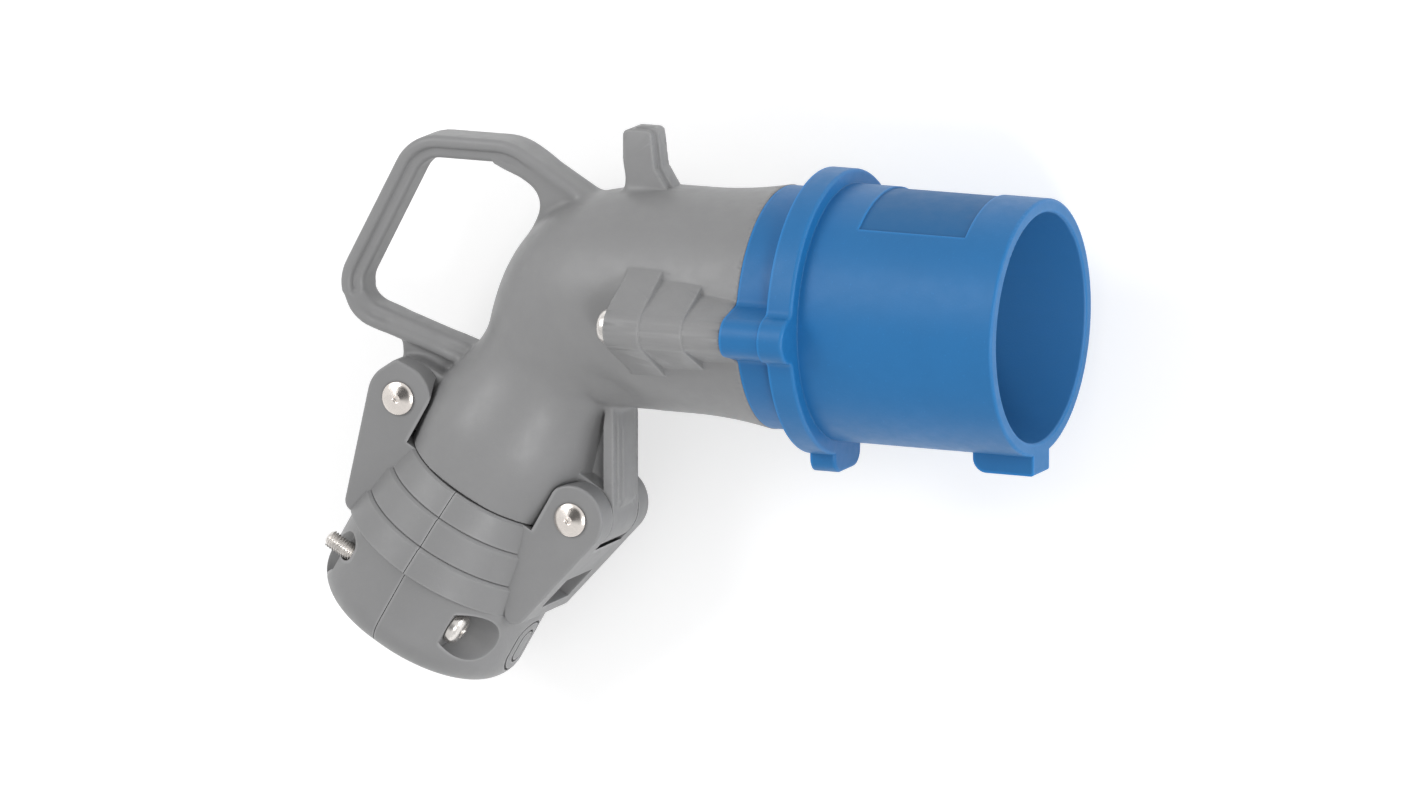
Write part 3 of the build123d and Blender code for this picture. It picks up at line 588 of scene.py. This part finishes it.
def add_thread(form, low, high):
    """Screw thread as one closed form, run out to a flat end at both ends"""
    turns = int((high - low) / THREAD_PITCH)
    rows = []
    for k in range(turns * THREAD_STEPS + 1):
        angle = 2 * pi * k / THREAD_STEPS
        base = low + THREAD_PITCH * k / THREAD_STEPS
        row = []
        for share, drop in FLANKS:
            r = THREAD_RADIUS - drop
            height = base + share * THREAD_PITCH
            row.append(form.verts.new((r * cos(angle) * MM, r * sin(angle) * MM, height * MM)))
        rows.append(row)
    for k, (row, after) in enumerate(zip(rows, rows[1:])):
        for a, b in ((0, 1), (1, 2), (2, 3)):
            form.faces.new([row[a], after[a], after[b], row[b]])
        if k + THREAD_STEPS < len(rows) - 1:
            above, above_after = rows[k + THREAD_STEPS], rows[k + THREAD_STEPS + 1]
            form.faces.new([row[3], after[3], above_after[0], above[0]])


def recess_tool(place, head_top):
    """Two crossed wedges that cut the recess in a screw's head"""
    cutter = bmesh.new()
    for turn in (0, pi / 2):
        for v in bmesh.ops.create_cube(cutter, size=2.0)["verts"]:
            half_length, half_width, height = RECESS_MOUTH if v.co.z > 0 else RECESS_FLOOR
            x, y, z = v.co.x * half_length, v.co.y * half_width, head_top + height
            v.co = Vector((x * cos(turn) - y * sin(turn), x * sin(turn) + y * cos(turn), z)) * MM
    mesh = bpy.data.meshes.new("recess")
    bmesh.ops.recalc_face_normals(cutter, faces=cutter.faces[:])
    cutter.to_mesh(mesh)
    cutter.free()
    tool = link(bpy.data.objects.new("recess", mesh))
    tool.matrix_world = place
    return tool


def add_screw(name, origin, axis, body, tip, thread_top, seat):
    """Pan-head screw with a cross recess, a plain neck and a real thread"""
    shank = [(0, tip), (TIP_RADIUS, tip), (CORE_RADIUS, tip + THREAD_DEPTH), (CORE_RADIUS, thread_top)]
    neck = [(NECK_RADIUS, thread_top + NECK_RISE), (NECK_RADIUS, seat)]
    edge = [(HEAD_RADIUS - HEAD_EDGE[0], seat), (HEAD_RADIUS, seat + HEAD_EDGE[1])]
    dome = [(HEAD_RADIUS - drop, seat + share * HEAD_HEIGHT) for drop, share in HEAD_DOME]
    form = bmesh.new()
    lathe(form, shank + neck + edge + dome + [(0, seat + HEAD_HEIGHT)], SCREW_STEPS)
    place = frame_at(origin, axis)
    made = piece(name + "_threaded", form, place, body, finishes["plated_steel"], name)
    tool = recess_tool(place, seat + HEAD_HEIGHT)
    cut = made.modifiers.new("recess", "BOOLEAN")
    cut.operation = "DIFFERENCE"
    cut.solver = "EXACT"
    cut.use_self = True
    cut.object = tool
    shape = baked(made)
    bpy.data.objects.remove(tool)
    form = bmesh.new()
    form.from_mesh(shape)
    add_thread(form, tip + THREAD_START, thread_top)
    form.to_mesh(shape)
    form.free()
    smoothed(shape, 30)


for name, side in (("lower_hinge_pin", 1), ("upper_hinge_pin", -1)):
    add_hinge_pin(name, side)
for name, level in (("near_clamp_screw", 1), ("far_clamp_screw", -1)):
    origin = exit_point(CLAMP_SCREW_AT, height=level * CLAMP_SCREW_SIDE)
    add_screw(name, origin, ACROSS, name, **CLAMP_SCREW)
for name, side in (("near_sleeve_screw", 1), ("far_sleeve_screw", -1)):
    origin = Vector((SLEEVE_SCREW_AT, BOSS_LEVEL, side * SLEEVE_SCREW_SIDE))
    add_screw(name, origin, Vector((-1, 0, 0)), "body", **SLEEVE_SCREW)


# Floor, in metres

FLOOR_SIZE = 6.0
FLOOR_MIDDLE = (-0.1, -0.03)
FLOOR_GLOW = 0.42


def add_floor():
    """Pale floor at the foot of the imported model, which glows only to the camera and in mirrors"""
    mesh = bpy.data.meshes.new("floor")
    form = bmesh.new()
    bmesh.ops.create_grid(form, x_segments=2, y_segments=2, size=FLOOR_SIZE)
    form.to_mesh(mesh)
    form.free()
    floor = bpy.data.objects.new("floor", mesh)
    floor.location = (*FLOOR_MIDDLE, cad_box[0][2])
    link(floor)
    paper = Tree("pale_floor")
    paper.feed("Base Color", (0.80, 0.80, 0.80, 1))
    paper.feed("Roughness", 0.9)
    paper.feed("Specular IOR Level", 0.1)
    rays = paper.node("LightPath", {}).outputs
    seen = paper.math("MAXIMUM", rays["Is Camera Ray"], rays["Is Glossy Ray"])
    paper.feed("Emission Color", (1, 1, 1, 1))
    paper.feed("Emission Strength", paper.math("MULTIPLY", seen, FLOOR_GLOW))
    mesh.materials.append(paper.material)


add_floor()


# Even light all round, with a dim round patch in front for polished metal to mirror

SKY_STRENGTH = 0.56
MIRRORED_STRENGTH = 1.0
DIM_STRENGTH = 0.10
DIM_WAY = Vector((-0.06, 0.156, 0.986))
DIM_WHOLE = 16
DIM_END = 28


def add_sky():
    """World light, in which only mirrored rays see the dim patch"""
    world = bpy.data.worlds.new("studio")
    bpy.context.scene.world = world
    world.use_nodes = True
    sky = world.node_tree
    plain = sky.nodes["Background"]
    plain.inputs["Color"].default_value = (1, 1, 1, 1)
    plain.inputs["Strength"].default_value = SKY_STRENGTH
    way = sky.nodes.new("ShaderNodeTexCoord").outputs["Generated"]
    facing = sky.nodes.new("ShaderNodeVectorMath")
    facing.operation = "DOT_PRODUCT"
    sky.links.new(way, facing.inputs[0])
    facing.inputs[1].default_value = (TURN.to_3x3() @ DIM_WAY).normalized()
    dim = sky.nodes.new("ShaderNodeMapRange")
    sky.links.new(facing.outputs["Value"], dim.inputs["Value"])
    dim.inputs["From Min"].default_value = cos(radians(DIM_END))
    dim.inputs["From Max"].default_value = cos(radians(DIM_WHOLE))
    dim.inputs["To Min"].default_value = MIRRORED_STRENGTH
    dim.inputs["To Max"].default_value = DIM_STRENGTH
    mirrored = sky.nodes.new("ShaderNodeBackground")
    sky.links.new(dim.outputs["Result"], mirrored.inputs["Strength"])
    choice = sky.nodes.new("ShaderNodeMixShader")
    path = sky.nodes.new("ShaderNodeLightPath")
    sky.links.new(path.outputs["Is Glossy Ray"], choice.inputs["Fac"])
    sky.links.new(plain.outputs[0], choice.inputs[1])
    sky.links.new(mirrored.outputs[0], choice.inputs[2])
    sky.links.new(choice.outputs[0], sky.nodes["World Output"].inputs["Surface"])


add_sky()


# Camera at the photograph's viewing angle, aimed at a point of the plug, and the lamps about it.
# The distance and the lamps' places and sizes are in metres

PHOTO_WIDTH = 1420
PIXELS_PER_MM = 3.63
SENSOR_WIDTH = 36.0
DISTANCE = 5.0
AIM = (-99.0, -27.6)
AZIMUTH = 23.77
ELEVATION = 11.09
target = TURN @ Vector((AIM[0] * MM, AIM[1] * MM, 0))
azimuth, elevation = radians(AZIMUTH), radians(ELEVATION)
right = Vector((cos(azimuth), 0, -sin(azimuth)))
back = Vector((sin(azimuth) * cos(elevation), sin(elevation), cos(azimuth) * cos(elevation)))
up = back.cross(right)
right, up, back = (TURN.to_3x3() @ v for v in (right, up, back))


def area_light(name, offset, size, power):
    """Soft lamp placed to the right, up and back of the camera's target, aimed at it"""
    lamp = bpy.data.lights.new(name, "AREA")
    lamp.shape = "DISK"
    lamp.size = size
    lamp.energy = power
    made = bpy.data.objects.new(name, lamp)
    made.location = target + right * offset[0] + up * offset[1] + back * offset[2]
    made.rotation_euler = (target - made.location).to_track_quat("-Z", "Y").to_euler()
    link(made)


def add_camera():
    """Long lens that shows the photograph's frame at the photograph's scale"""
    camera_data = bpy.data.cameras.new("camera")
    camera_data.sensor_width = SENSOR_WIDTH
    camera_data.lens = SENSOR_WIDTH * DISTANCE / (PHOTO_WIDTH / PIXELS_PER_MM * MM)
    camera_data.clip_end = 20 * DISTANCE
    camera = bpy.data.objects.new("camera", camera_data)
    facing = Matrix((right, up, back)).transposed().to_4x4()
    camera.matrix_world = Matrix.Translation(target + back * DISTANCE) @ facing
    bpy.context.scene.camera = link(camera)


area_light("key", (0.34, -0.66, 1.70), size=0.45, power=8.5)
area_light("right_fill", (1.4, 0.1, 0.9), size=1.0, power=9.0)
area_light("left_fill", (-1.4, 0.7, 0.9), size=1.0, power=10.0)
add_camera()

bpy.context.scene.view_settings.view_transform = "Standard"
